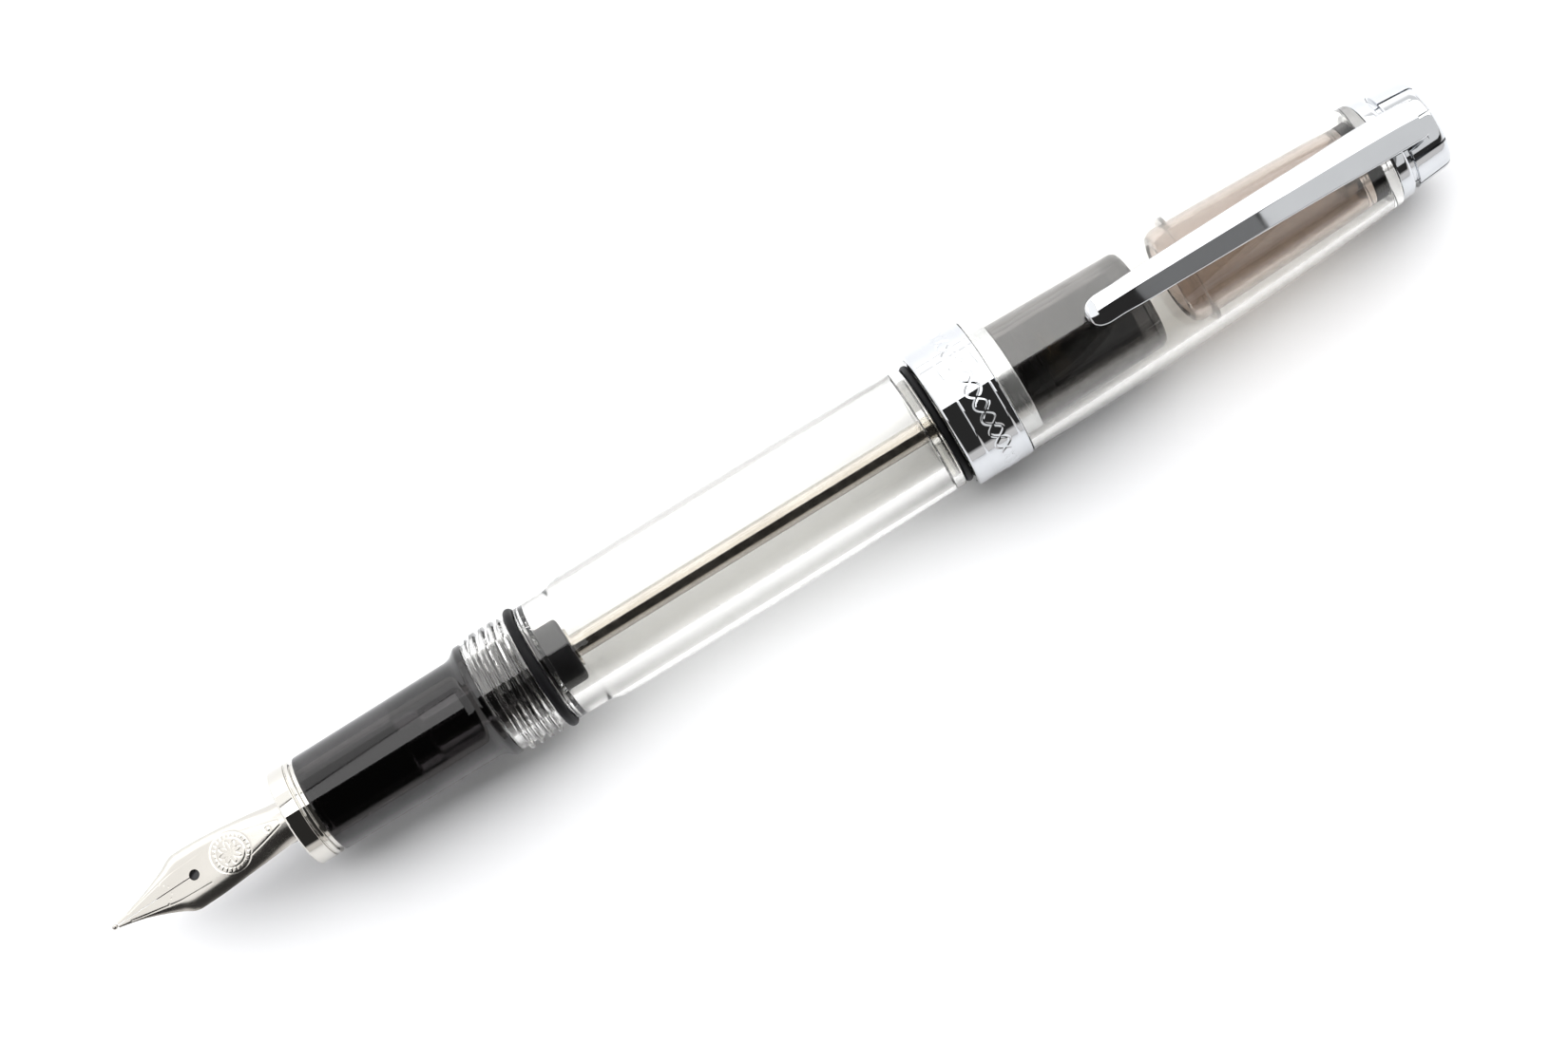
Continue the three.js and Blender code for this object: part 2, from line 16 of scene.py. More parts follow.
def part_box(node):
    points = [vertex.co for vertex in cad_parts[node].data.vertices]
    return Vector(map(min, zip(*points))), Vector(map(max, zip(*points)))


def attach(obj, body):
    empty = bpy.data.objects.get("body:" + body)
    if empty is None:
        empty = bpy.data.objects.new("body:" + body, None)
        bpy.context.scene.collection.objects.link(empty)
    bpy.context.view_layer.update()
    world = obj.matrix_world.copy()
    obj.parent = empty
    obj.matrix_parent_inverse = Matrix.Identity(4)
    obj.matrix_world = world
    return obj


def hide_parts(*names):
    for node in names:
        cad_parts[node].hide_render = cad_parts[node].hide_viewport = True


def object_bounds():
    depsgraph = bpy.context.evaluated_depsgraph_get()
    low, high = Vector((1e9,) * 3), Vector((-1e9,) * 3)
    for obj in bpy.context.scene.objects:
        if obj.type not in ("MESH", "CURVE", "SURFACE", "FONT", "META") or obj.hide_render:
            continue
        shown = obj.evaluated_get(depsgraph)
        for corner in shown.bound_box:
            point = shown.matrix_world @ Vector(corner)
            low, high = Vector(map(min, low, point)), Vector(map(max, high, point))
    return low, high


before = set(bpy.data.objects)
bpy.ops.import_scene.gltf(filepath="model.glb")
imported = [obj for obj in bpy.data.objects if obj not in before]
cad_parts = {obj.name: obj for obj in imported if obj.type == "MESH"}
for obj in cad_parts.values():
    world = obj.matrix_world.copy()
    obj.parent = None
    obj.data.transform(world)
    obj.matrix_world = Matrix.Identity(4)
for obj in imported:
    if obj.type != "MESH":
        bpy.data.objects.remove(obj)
CAD_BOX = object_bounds()

MM = 0.001
PEN_ZERO = CAD_BOX[0][0] - 0.3 * MM  # the nib's tip is at pen x = 0.3
AXIS_Z = sum(corner.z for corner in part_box("cap_band")) / 2
NIB_ROLL = math.radians(-5.5)  # the nib's turn about the axis, away from the clip

# ---------------------------------------------------------------- places and outlines


def to_row(points):
    """Pen coordinates in millimetres as row coordinates in metres."""
    return np.asarray(points, float) * MM + np.array([PEN_ZERO, 0, AXIS_Z])


def node_points(node):
    """The vertices of a CAD node, in pen coordinates."""
    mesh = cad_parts[node].data
    places = np.empty(len(mesh.vertices) * 3)
    mesh.vertices.foreach_get("co", places)
    return (places.reshape(-1, 3) - np.array([PEN_ZERO, 0, AXIS_Z])) / MM


def span(node):
    """(first x, last x, outer radius) of a turned CAD node."""
    points = node_points(node)
    radii = np.hypot(points[:, 1], points[:, 2])
    return points[:, 0].min(), points[:, 0].max(), radii.max()


def outline(node):
    """The [x, r] outline of a turned CAD node in order, and whether it is a closed loop.

    A loop goes round a bore. A solid without one gives an open line from axis to axis.
    """
    points = node_points(node)
    radii = np.hypot(points[:, 1], points[:, 2])
    angles = np.arctan2(points[:, 1], points[:, 2])
    half_plane = angles[radii.argmax()]
    turn = np.abs((angles - half_plane + math.pi) % (2 * math.pi) - math.pi)
    on_axis = radii < 0.01
    chosen = on_axis | (turn < math.radians(1))
    keys = [
        (round(float(x), 2), 0.0 if axial else round(float(r), 2))
        for x, r, axial in zip(points[:, 0], radii, on_axis)
    ]
    neighbours = {}
    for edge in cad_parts[node].data.edges:
        a, b = edge.vertices
        if chosen[a] and chosen[b] and keys[a] != keys[b] and not (on_axis[a] and on_axis[b]):
            neighbours.setdefault(keys[a], set()).add(keys[b])
            neighbours.setdefault(keys[b], set()).add(keys[a])
    ends = sorted(key for key in neighbours if key[1] == 0)
    path = [ends[0] if ends else min(neighbours)]
    while True:
        following = [key for key in sorted(neighbours[path[-1]]) if key not in path]
        if not following:
            return np.array(path), not ends
        path.append(following[0])


def softened(points, closed, fillet=0.12, soft_turn=40, steps=6):
    """The outline with sharp corners filleted and slight bends spread into long smooth curves.

    fillet is one radius, or one for each corner. A bend under soft_turn degrees is a slight one.
    """
    count = len(points)
    fillets = np.broadcast_to(fillet, count)
    result = []
    for i, corner in enumerate(points):
        if not closed and i in (0, count - 1):
            result.append(corner)
            continue
        before, after = points[i - 1] - corner, points[(i + 1) % count] - corner
        reach_before, reach_after = np.hypot(*before), np.hypot(*after)
        before, after = before / reach_before, after / reach_after
        turn = math.pi - math.acos(max(-1.0, min(1.0, float(before @ after))))
        limit = 0.48 * min(reach_before, reach_after)
        soft = turn < math.radians(soft_turn)
        reach = limit if soft else min(fillets[i] * math.tan(turn / 2), limit)
        margin = 0.0 if soft else min(0.25 * reach, 0.02)
        start, stop = corner + before * reach, corner + after * reach
        if margin:
            result.append(corner + before * (reach + margin))
        for t in np.linspace(0, 1, steps + 1):
            result.append((1 - t) ** 2 * start + 2 * t * (1 - t) * corner + t * t * stop)
        if margin:
            result.append(corner + after * (reach + margin))
    return np.array(result)


def smooth_between(xs, ys):
    """A monotone cubic through the given points, as a function."""
    xs, ys = np.asarray(xs, float), np.asarray(ys, float)
    slopes = np.diff(ys) / np.diff(xs)
    tangents = np.zeros(len(xs))
    tangents[0], tangents[-1] = slopes[0], slopes[-1]
    before, after = slopes[:-1], slopes[1:]
    same_way = before * after > 0
    tangents[1:-1][same_way] = (2 * before[same_way] * after[same_way]) / (before + after)[same_way]

    def value(x):
        i = np.clip(np.searchsorted(xs, x) - 1, 0, len(xs) - 2)
        width = xs[i + 1] - xs[i]
        t = np.clip((x - xs[i]) / width, 0, 1)
        return (
            (2 * t**3 - 3 * t**2 + 1) * ys[i]
            + (t**3 - 2 * t**2 + t) * width * tangents[i]
            + (3 * t**2 - 2 * t**3) * ys[i + 1]
            + (t**3 - t**2) * width * tangents[i + 1]
        )

    return value


def smooth_columns(rows):
    """A smooth function of x, the first column, for each of the other columns."""
    first, *others = zip(*rows)
    return [smooth_between(first, column) for column in others]


# ---------------------------------------------------------------- mesh building


def new_piece(name, points, faces, body, material, nodes, sharp=None):
    """A piece from pen coordinates, faces turned outwards, riding on a body for its CAD nodes."""
    mesh = bpy.data.meshes.new(name)
    mesh.from_pydata(to_row(points).tolist(), [], faces)
    tool = bmesh.new()
    tool.from_mesh(mesh)
    bmesh.ops.remove_doubles(tool, verts=tool.verts, dist=1e-7)
    bmesh.ops.recalc_face_normals(tool, faces=tool.faces)
    tool.to_mesh(mesh)
    tool.free()
    mesh.shade_smooth()
    if sharp:
        mesh.set_sharp_from_angle(angle=math.radians(sharp))
    mesh.materials.append(material)
    piece = bpy.data.objects.new(name, mesh)
    bpy.context.scene.collection.objects.link(piece)
    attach(piece, body)
    if nodes:
        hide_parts(*nodes)
    return piece


def turned_mesh(profile, closed, segments=128, swell=None):
    """Points and faces of an outline turned about the axis, with radii from swell(x, r, angles)."""
    angles = full_circle(segments)
    points, rings = [], []
    for x, r in profile:
        if r < 1e-6:
            rings.append([len(points)])
            points.append((x, 0.0, 0.0))
            continue
        radii = np.full(segments, r) if swell is None else swell(x, r, angles)
        rings.append(list(range(len(points), len(points) + segments)))
        points.extend(zip(np.full(segments, x), radii * np.sin(angles), radii * np.cos(angles)))
    faces = []
    pairs = list(zip(rings, rings[1:]))
    if closed:
        pairs.append((rings[-1], rings[0]))
    for a, b in pairs:
        for k in range(segments):
            following = (k + 1) % segments
            if len(a) == 1 and len(b) == 1:
                break
            if len(a) == 1:
                faces.append((a[0], b[k], b[following]))
            elif len(b) == 1:
                faces.append((a[k], b[0], a[following]))
            else:
                faces.append((a[k], b[k], b[following], a[following]))
    return points, faces


def turned(node, body, material, fillet=0.12, segments=128, swell=None, profile=None):
    """A smooth round piece on the outline of one CAD node."""
    points, closed = profile or outline(node)
    points, faces = turned_mesh(softened(points, closed, fillet), closed, segments, swell)
    new_piece(f"{node}_fine", points, faces, body, material, [node])


def full_circle(count):
    """Evenly spaced angles round a circle."""
    return np.arange(count) * 2 * math.pi / count


def o_ring(node):
    """A rubber ring of the barrel, as thick as its CAD node is long."""
    start, end, outer = span(node)
    radius = (end - start) / 2
    angles = full_circle(24)
    loop_x = (start + end) / 2 + radius * np.cos(angles)
    loop_r = outer - radius + radius * np.sin(angles)
    points, faces = turned_mesh(np.stack([loop_x, loop_r], axis=1), True)
    new_piece(f"{node}_fine", points, faces, "barrel", RUBBER, [node])


def lofted_mesh(sections):
    """Points and faces of closed sections joined in order, with flat ends."""
    count = len(sections[0])
    points = [point for section in sections for point in section]
    faces = []
    for s in range(len(sections) - 1):
        for i in range(count):
            following = (i + 1) % count
            a, b = s * count, (s + 1) * count
            faces.append((a + i, a + following, b + following, b + i))
    faces.append(tuple(range(count)))
    faces.append(tuple(range(len(points) - count, len(points))))
    return points, faces


# ---------------------------------------------------------------- materials


class Shader:
    """A small helper to add and link shader nodes."""

    def __init__(self, name):
        self.material = bpy.data.materials.new(name)
        self.material.use_nodes = True
        self.tree = self.material.node_tree
        self.bsdf = self.tree.nodes["Principled BSDF"]
        self.output = self.tree.nodes["Material Output"]

    def add(self, kind, **settings):
        node = self.tree.nodes.new(kind)
        for key, value in settings.items():
            if key in node.inputs:
                node.inputs[key].default_value = value
            else:
                setattr(node, key, value)
        return node

    def link(self, source, target):
        self.tree.links.new(source, target)

    def noise(self, scale, detail=4.0, stretch=(1, 1, 1)):
        """Noise in object space. stretch above 1 makes it finer along that axis."""
        place = self.add("ShaderNodeTexCoord")
        mapping = self.add("ShaderNodeMapping", Scale=stretch)
        noise = self.add("ShaderNodeTexNoise", Scale=scale, Detail=detail)
        self.link(place.outputs["Object"], mapping.inputs["Vector"])
        self.link(mapping.outputs["Vector"], noise.inputs["Vector"])
        return noise.outputs["Fac"]

    def ranged(self, value, low, high):
        """value, which runs from about 0.3 to 0.7, spread from low to high."""
        spread = self.add("ShaderNodeMapRange")
        limits = {"From Min": 0.3, "From Max": 0.7, "To Min": low, "To Max": high}
        for name, limit in limits.items():
            spread.inputs[name].default_value = limit
        self.link(value, spread.inputs["Value"])
        return spread.outputs["Result"]

    def tinted(self, value, dark, light):
        """A colour between two, by a noise value."""
        ramp = self.add("ShaderNodeValToRGB")
        ramp.color_ramp.elements[0].position = 0.3
        ramp.color_ramp.elements[0].color = (*dark, 1)
        ramp.color_ramp.elements[1].position = 0.7
        ramp.color_ramp.elements[1].color = (*light, 1)
        self.link(value, ramp.inputs["Fac"])
        self.link(ramp.outputs["Color"], self.bsdf.inputs["Base Color"])

    def rough(self, value, low, high):
        self.link(self.ranged(value, low, high), self.bsdf.inputs["Roughness"])

    def bump(self, value, strength, distance):
        bump = self.add("ShaderNodeBump", Strength=strength, Distance=distance)
        self.link(value, bump.inputs["Height"])
        self.link(bump.outputs["Normal"], self.bsdf.inputs["Normal"])

    def set(self, **values):
        for key, value in values.items():
            self.bsdf.inputs[key.replace("_", " ")].default_value = value

    def light_shadow(self, tint):
        """Lets light through to the matt surfaces behind, tinted, in place of a solid shadow."""
        path = self.add("ShaderNodeLightPath")
        either = self.add("ShaderNodeMath", operation="MAXIMUM")
        clear = self.add("ShaderNodeBsdfTransparent", Color=(*tint, 1))
        mix = self.add("ShaderNodeMixShader")
        self.link(path.outputs["Is Shadow Ray"], either.inputs[0])
        self.link(path.outputs["Is Diffuse Ray"], either.inputs[1])
        self.link(either.outputs["Value"], mix.inputs["Fac"])
        self.link(self.bsdf.outputs["BSDF"], mix.inputs[1])
        self.link(clear.outputs["BSDF"], mix.inputs[2])
        self.link(mix.outputs["Shader"], self.output.inputs["Surface"])


def resin(name, dark, light, roughness, shadow):
    """Polished see-through plastic with faint handling marks."""
    shader = Shader(name)
    shader.set(IOR=1.49, Transmission_Weight=1.0)
    haze = shader.noise(180, stretch=(0.4, 1, 1))
    shader.tinted(shader.noise(60), dark, light)
    shader.rough(haze, *roughness)
    shader.bump(shader.noise(900, 6, (0.15, 1, 1)), 0.015, 0.00002)
    shader.light_shadow(shadow)
    return shader.material


def metal(name, dark, light, roughness, grain, stretch=(1, 1, 1)):
    """Plated or turned metal. stretch sets which way its fine lines run."""
    shader = Shader(name)
    shader.set(Metallic=1.0)
    shader.tinted(shader.noise(140), dark, light)
    shader.rough(shader.noise(260, 5, stretch), *roughness)
    shader.bump(shader.noise(700, 6, stretch), grain, 0.00002)
    return shader.material


def solid_plastic(name, dark, light, roughness, grain, specular):
    """Rubber or moulded plastic with a fine grain."""
    shader = Shader(name)
    shader.set(Specular_IOR_Level=specular)
    shader.tinted(shader.noise(400), dark, light)
    shader.rough(shader.noise(700), *roughness)
    shader.bump(shader.noise(1500), grain, 0.00005)
    return shader.material


# Brushed lines: round a turned part, and along the nib.
TURNED_LINES = (4, 0.3, 0.3)
NIB_LINES = (0.1, 1, 1)

CLEAR = resin(
    "clear_resin",
    dark=(0.935, 0.929, 0.906),
    light=(0.948, 0.943, 0.921),
    roughness=(0.0, 0.015),
    shadow=(0.845, 0.845, 0.838),
)
SMOKE = resin(
    "smoke_resin",
    dark=(0.02, 0.018, 0.019),
    light=(0.03, 0.027, 0.028),
    roughness=(0.02, 0.05),
    shadow=(0.02, 0.02, 0.02),
)
SMOKE_KNOB = resin(
    "smoke_knob_resin",
    dark=(0.1, 0.095, 0.095),
    light=(0.13, 0.123, 0.122),
    roughness=(0.02, 0.05),
    shadow=(0.04, 0.04, 0.04),
)
TINTED = resin(
    "tinted_resin",
    dark=(0.56, 0.48, 0.43),
    light=(0.6, 0.52, 0.47),
    roughness=(0.06, 0.14),
    shadow=(0.88, 0.85, 0.82),
)
CHROME = metal(
    "chrome_plating",
    dark=(0.585, 0.6, 0.62),
    light=(0.62, 0.635, 0.655),
    roughness=(0.02, 0.06),
    grain=0.01,
)
WARM_CHROME = metal(
    "warm_chrome_plating",
    dark=(0.6, 0.583, 0.545),
    light=(0.635, 0.618, 0.58),
    roughness=(0.02, 0.06),
    grain=0.01,
)
SATIN_CHROME = metal(
    "satin_chrome",
    dark=(0.62, 0.63, 0.645),
    light=(0.68, 0.69, 0.705),
    roughness=(0.22, 0.32),
    grain=0.03,
    stretch=TURNED_LINES,
)
NIB_STEEL = metal(
    "nib_steel",
    dark=(0.53, 0.508, 0.472),
    light=(0.57, 0.548, 0.512),
    roughness=(0.15, 0.24),
    grain=0.03,
    stretch=NIB_LINES,
)
ROD_STEEL = metal(
    "rod_steel",
    dark=(0.4, 0.375, 0.34),
    light=(0.46, 0.435, 0.4),
    roughness=(0.1, 0.2),
    grain=0.05,
    stretch=TURNED_LINES,
)
BRASS = metal(
    "turned_brass",
    dark=(0.68, 0.52, 0.27),
    light=(0.78, 0.62, 0.34),
    roughness=(0.18, 0.3),
    grain=0.05,
    stretch=TURNED_LINES,
)
RUBBER = solid_plastic(
    "black_rubber",
    dark=(0.003, 0.003, 0.0035),
    light=(0.006, 0.006, 0.007),
    roughness=(0.38, 0.5),
    grain=0.1,
    specular=0.1,
)
BLACK = solid_plastic(
    "black_plastic",
    dark=(0.012, 0.012, 0.014),
    light=(0.02, 0.02, 0.023),
    roughness=(0.22, 0.34),
    grain=0.06,
    specular=0.5,
)

# ---------------------------------------------------------------- nib and feed

# The nib: x, half width, height of the crest and of the edge, and how flat the top is.
NIB_OUTLINE = [
    (1.05, 0.34, 1.12, 0.95, 1.0),
    (1.8, 0.48, 1.25, 1.1, 1.0),
    (4.0, 1.02, 1.6, 1.33, 1.0),
    (6.1, 1.75, 1.92, 1.45, 1.0),
    (8.1, 2.6, 2.2, 1.5, 1.0),
    (9.4, 3.28, 2.38, 1.55, 1.0),
    (10.1, 3.42, 2.46, 1.6, 1.0),
    (12.3, 3.38, 2.62, 1.76, 1.0),
    (15.2, 3.18, 2.7, 1.85, 1.0),
    (18.6, 2.85, 2.75, 1.7, 0.6),
    (22.6, 2.47, 2.75, 1.2, 0.0),
    (33.0, 2.47, 2.75, 1.2, 0.0),
]
NIB_THICKNESS = 0.32
NIB_VISIBLE = 24.0  # behind this x the nib is inside the grip
NIB_END = 33.0
NIB_STEP = 0.06  # between the sections of the part that shows
NIB_COLUMNS = 101  # points across each section
NIB_SHARP_ANGLE = math.radians(40)
BREATHER_X = 11.25
BREATHER_RADIUS = 0.6
SLIT_WIDTH = 0.1
ENGRAVING_DEPTH = 0.032
LINE = 0.085  # half the width of an engraved line
MEDALLION_X = 15.9
MEDALLION_RADIUS = 2.25
MEDALLION_PETALS = 8
ROPE = (0.78, 0.96)  # the ring of short strands, as shares of the medallion's radius
ROPE_STRANDS = 24
DOT_X = 20.6
DOT_RADIUS = 0.28

half_width, crest, edge_height, flatness = smooth_columns(NIB_OUTLINE)
# Engraved lines on both sides of the slit: how far from it they run, by x.
BORDER = (2.6, 12.6)
FLOURISH = (17.4, 22)
border = smooth_between([BORDER[0], 6, 9, BORDER[1]], [0.42, 1.1, 1.62, 1.78])
flourish = smooth_between([FLOURISH[0], 19.5, FLOURISH[1]], [1.5, 1.0, 0.3])


def line_mask(distance):
    """1 on a line and 0 beside it, by the distance from its middle."""
    return np.clip(1.5 - np.abs(distance) / LINE, 0, 1)


def engraving(x, across):
    """How deep the nib is engraved, 0 to 1, at x and at a distance across from the slit."""
    side = np.abs(across)
    depth = line_mask(side - border(x)) * (BORDER[0] < x < BORDER[1])
    depth = np.maximum(depth, line_mask(side - flourish(x)) * (FLOURISH[0] < x < FLOURISH[1]))
    for k in range(1, 4):  # three spots that fan out in front of the breather hole
        spot = np.hypot(x - 8.3 + 0.12 * k * k, side - 0.42 * k)
        depth = np.maximum(depth, np.clip(2 - spot / 0.09, 0, 1))
    radius = np.hypot(x - MEDALLION_X, across)
    angle = np.arctan2(across, x - MEDALLION_X)
    depth = np.maximum(depth, line_mask(radius - MEDALLION_RADIUS))
    depth = np.maximum(depth, line_mask(radius - 0.74 * MEDALLION_RADIUS))
    strands = line_mask((angle * ROPE_STRANDS / (2 * math.pi) % 1 - 0.5) * 0.6)
    in_rope = (radius > ROPE[0] * MEDALLION_RADIUS) & (radius < ROPE[1] * MEDALLION_RADIUS)
    depth = np.maximum(depth, strands * in_rope)
    petals = MEDALLION_RADIUS * (0.24 + 0.34 * np.abs(np.cos(MEDALLION_PETALS / 2 * angle)))
    depth = np.maximum(depth, line_mask(radius - petals))
    return np.maximum(depth, line_mask(np.hypot(x - DOT_X, across) - DOT_RADIUS))


def nib_points(x, t):
    """Outer and inner surface of the blade at x, for t from -1 at one edge to 1 at the other."""
    width, rise, flat = half_width(x), crest(x) - edge_height(x), flatness(x)
    radius = (width**2 + rise**2) / (2 * rise)
    across = width * t
    chord = np.sqrt(radius**2 - across**2)
    drop = (1 - flat) * (radius - chord) + flat * rise * t**4
    tilt = np.arctan((1 - flat) * across / chord + flat * 4 * rise * t**3 / width)
    engraved = ENGRAVING_DEPTH * engraving(x, across)
    inner = np.full(t.shape, min(NIB_THICKNESS, 0.6 * width))
    surfaces = []
    for inset in (engraved, inner):
        y = across - inset * np.sin(tilt)
        z = crest(x) - drop - inset * np.cos(tilt)
        surfaces.append(np.stack([np.full(t.shape, x), y, z], axis=-1))
    return surfaces


def rolled(points):
    """Points turned with the nib about the pen's axis."""
    c, s = math.cos(NIB_ROLL), math.sin(NIB_ROLL)
    points = np.asarray(points, float)
    return points @ np.array([[1, 0, 0], [0, c, s], [0, -s, c]])


def cut_with(piece, points, faces):
    """Cuts a closed shape, given in pen coordinates, out of a piece."""
    mesh = bpy.data.meshes.new("tool")
    mesh.from_pydata(to_row(points).tolist(), [], faces)
    tool = bmesh.new()
    tool.from_mesh(mesh)
    bmesh.ops.recalc_face_normals(tool, faces=tool.faces)
    tool.to_mesh(mesh)
    tool.free()
    cutter = bpy.data.objects.new("tool", mesh)
    bpy.context.scene.collection.objects.link(cutter)
    modifier = piece.modifiers.new("cut", "BOOLEAN")
    modifier.operation = "DIFFERENCE"
    modifier.solver = "EXACT"
    modifier.object = cutter
    with_cut = piece.evaluated_get(bpy.context.evaluated_depsgraph_get())
    result = bpy.data.meshes.new_from_object(with_cut)
    piece.modifiers.clear()
    piece.data = result
    bpy.data.objects.remove(cutter)


def box_mesh(x, y, z):
    """Points and faces of a box, from its range along each axis."""
    points = [(a, b, c) for a in x for b in y for c in z]
    faces = [(0, 1, 3, 2), (4, 6, 7, 5), (0, 4, 5, 1), (2, 3, 7, 6), (0, 2, 6, 4), (1, 5, 7, 3)]
    return points, faces


def make_nib():
    """The blade, engraved on top, with its breather hole and the slit from there to the point."""
    shown = np.arange(NIB_OUTLINE[0][0], NIB_VISIBLE, NIB_STEP)
    along = np.concatenate([shown, np.linspace(NIB_VISIBLE, NIB_END, 8)])
    across = np.linspace(-1, 1, NIB_COLUMNS)
    sections = []
    for x in along:
        outer, inner = nib_points(x, across)
        sections.append(rolled(np.concatenate([outer, inner[::-1]])))
    points, faces = lofted_mesh(sections)
    nib = new_piece("nib_blade", points, faces, "barrel", NIB_STEEL, ["nib"])
    slit = box_mesh((-1, BREATHER_X), (-SLIT_WIDTH / 2, SLIT_WIDTH / 2), (-1, 4))
    cut_with(nib, rolled(slit[0]), slit[1])
    angles = full_circle(40)
    ring_x = BREATHER_X + BREATHER_RADIUS * np.cos(angles)
    ring_y = BREATHER_RADIUS * np.sin(angles)
    ring = np.stack([ring_x, ring_y, 0 * angles], axis=1)
    hole = lofted_mesh([ring + (0, 0, 1.2), ring + (0, 0, 4)])
    cut_with(nib, rolled(hole[0]), hole[1])
    nib.data.shade_smooth()
    nib.data.set_sharp_from_angle(angle=NIB_SHARP_ANGLE)


TIP_SLIMNESS = 0.85  # the pellet's width and height, as a share of its length
TIP_HEIGHT = 1.0


def make_nib_tip():
    """The hard pellet at the point, with the slit running through it."""
    start, end, _ = span("nib_tip")
    radius = (end - start) / 2
    tool = bmesh.new()
    bmesh.ops.create_uvsphere(tool, u_segments=40, v_segments=24, radius=radius)
    points = []
    for vertex in tool.verts:
        x, y, z = vertex.co
        points.append((start + radius + x, TIP_SLIMNESS * y, TIP_HEIGHT + TIP_SLIMNESS * z))
    faces = [tuple(v.index for v in face.verts) for face in tool.faces]
    tool.free()
    tip = new_piece("nib_pellet", rolled(points), faces, "barrel", NIB_STEEL, ["nib_tip"])
    slit = box_mesh((-1, 1), (-0.02, 0.02), (TIP_HEIGHT, 4))
    cut_with(tip, rolled(slit[0]), slit[1])
    tip.data.shade_smooth()
    tip.data.set_sharp_from_angle(angle=NIB_SHARP_ANGLE)


FIRST_FIN = 12.0
FIN_PITCH = 0.62
FINS = 15
FIN_DEPTH = 0.6


def make_feed():
    """The feed: a comb of fins below, smooth above, with a rounded nose."""
    start, end, radius = span("feed")
    nose = [(0, 0), (0.02, 0.35), (0.4, 0.75), (1.4, 1.25), (3.4, 1.8), (5.4, 2.05), (10.4, radius)]
    profile = [(start + x, r) for x, r in nose[:-1]]
    for k in range(FINS):
        x = FIRST_FIN + k * FIN_PITCH
        profile += [(x + dx, radius - 0.1) for dx in (0, 0.02, 0.28, 0.3)]
    profile += [(FIRST_FIN + FINS * FIN_PITCH + 1, radius), (end, radius), (end, 0)]

    def comb(x, r, angles):
        step = (x - FIRST_FIN) / FIN_PITCH
        in_gap = 0 <= step < FINS and 0.01 / FIN_PITCH < step % 1 < 0.29 / FIN_PITCH
        below = np.clip((-np.cos(angles) - 0.1) * 6, 0, 1)
        return r - FIN_DEPTH * below * in_gap

    points, faces = turned_mesh(np.array(profile), False, 96, comb)
    points = rolled(points)
    new_piece("feed_comb", points, faces, "barrel", BLACK, ["feed"], sharp=35)


# ---------------------------------------------------------------- barrel body

BARREL_RINGS = [
    "grip_o_ring",
    "barrel_front_o_ring",
    "barrel_rear_o_ring",
    "rod_seal_1",
    "rod_seal_2",
]
THREAD = (48.9, 53.5)  # where the cap thread runs along the neck
THREAD_TURNS = 4
THREAD_HEIGHT = 0.5


def make_barrel():
    """The clear barrel, with a helical cap thread on its neck."""
    points, closed = outline("barrel")
    start = points[:, 0].min()
    root = points[points[:, 0] == start][:, 1].max()
    end = points[np.abs(points[:, 1] - root) < 0.02][:, 0].max()
    neck = [(x, root) for x in np.arange(start + 0.1, end - 0.02, 0.04)]
    on_thread = (points[:, 0] > start) & (points[:, 0] < end) & (points[:, 1] >= root - 0.01)
    kept, placed = [], False
    for point, threaded in zip(points, on_thread):
        if not threaded:
            kept.append(tuple(point))
        elif not placed:
            rising = kept and kept[-1][0] < point[0]
            kept += neck if rising else neck[::-1]
            placed = True
    first, last = THREAD
    pitch = (last - first) / THREAD_TURNS

    def thread(x, r, angles):
        if not (first < x < last and abs(r - root) < 0.02):
            return np.full(len(angles), r)
        phase = (x - first) / pitch - angles / (2 * math.pi)
        ridge = np.clip(0.5 + 1.1 * np.cos(2 * math.pi * (phase - 0.75)), 0, 1)
        fade = np.clip((x - first) / 0.3, 0, 1) * np.clip((last - x) / 0.3, 0, 1)
        return r + THREAD_HEIGHT * ridge * fade

    profile = (np.array(kept), closed)
    turned("barrel", "barrel", CLEAR, 0.15, 160, thread, profile)


def make_barrel_body():
    make_nib()
    make_nib_tip()
    make_feed()
    turned("nib_collar", "barrel", BLACK)
    turned("grip_trim_ring", "barrel", WARM_CHROME, 0.08)
    turned("grip_section", "barrel", SMOKE, 0.2)
    make_barrel()
    turned("gland", "barrel", CLEAR, 0.1)
    turned("gland_nut", "barrel", BRASS)
    for node in BARREL_RINGS:
        o_ring(node)


# ---------------------------------------------------------------- plunger and knob


def make_knob_nut():
    """A hexagonal nut with chamfered corners and a round bore."""
    start, end, corner = span("knob_nut")
    bore = 1.45
    count = 96
    angles = full_circle(count)
    flat = corner * math.cos(math.pi / 6)
    hexagon = flat / np.cos((angles + math.pi / 6) % (math.pi / 3) - math.pi / 6)

    def ring(x, radii):
        return np.stack([np.full(count, x), radii * np.sin(angles), radii * np.cos(angles)], axis=1)

    chamfered = np.minimum(hexagon, flat * 1.06)
    loops = [
        ring(start, np.full(count, bore)),
        ring(start, np.minimum(hexagon, flat * 0.98)),
        ring(start + 0.2, chamfered),
        ring(start + 0.35, hexagon),
        ring(end - 0.35, hexagon),
        ring(end - 0.2, chamfered),
        ring(end, np.minimum(hexagon, flat * 0.98)),
        ring(end, np.full(count, bore)),
    ]
    points = np.concatenate(loops)
    faces = []
    for s in range(len(loops)):
        a, b = s * count, (s + 1) % len(loops) * count
        for k in range(count):
            following = (k + 1) % count
            faces.append((a + k, a + following, b + following, b + k))
    new_piece("knob_nut_fine", points, faces, "plunger", BRASS, ["knob_nut"], sharp=30)


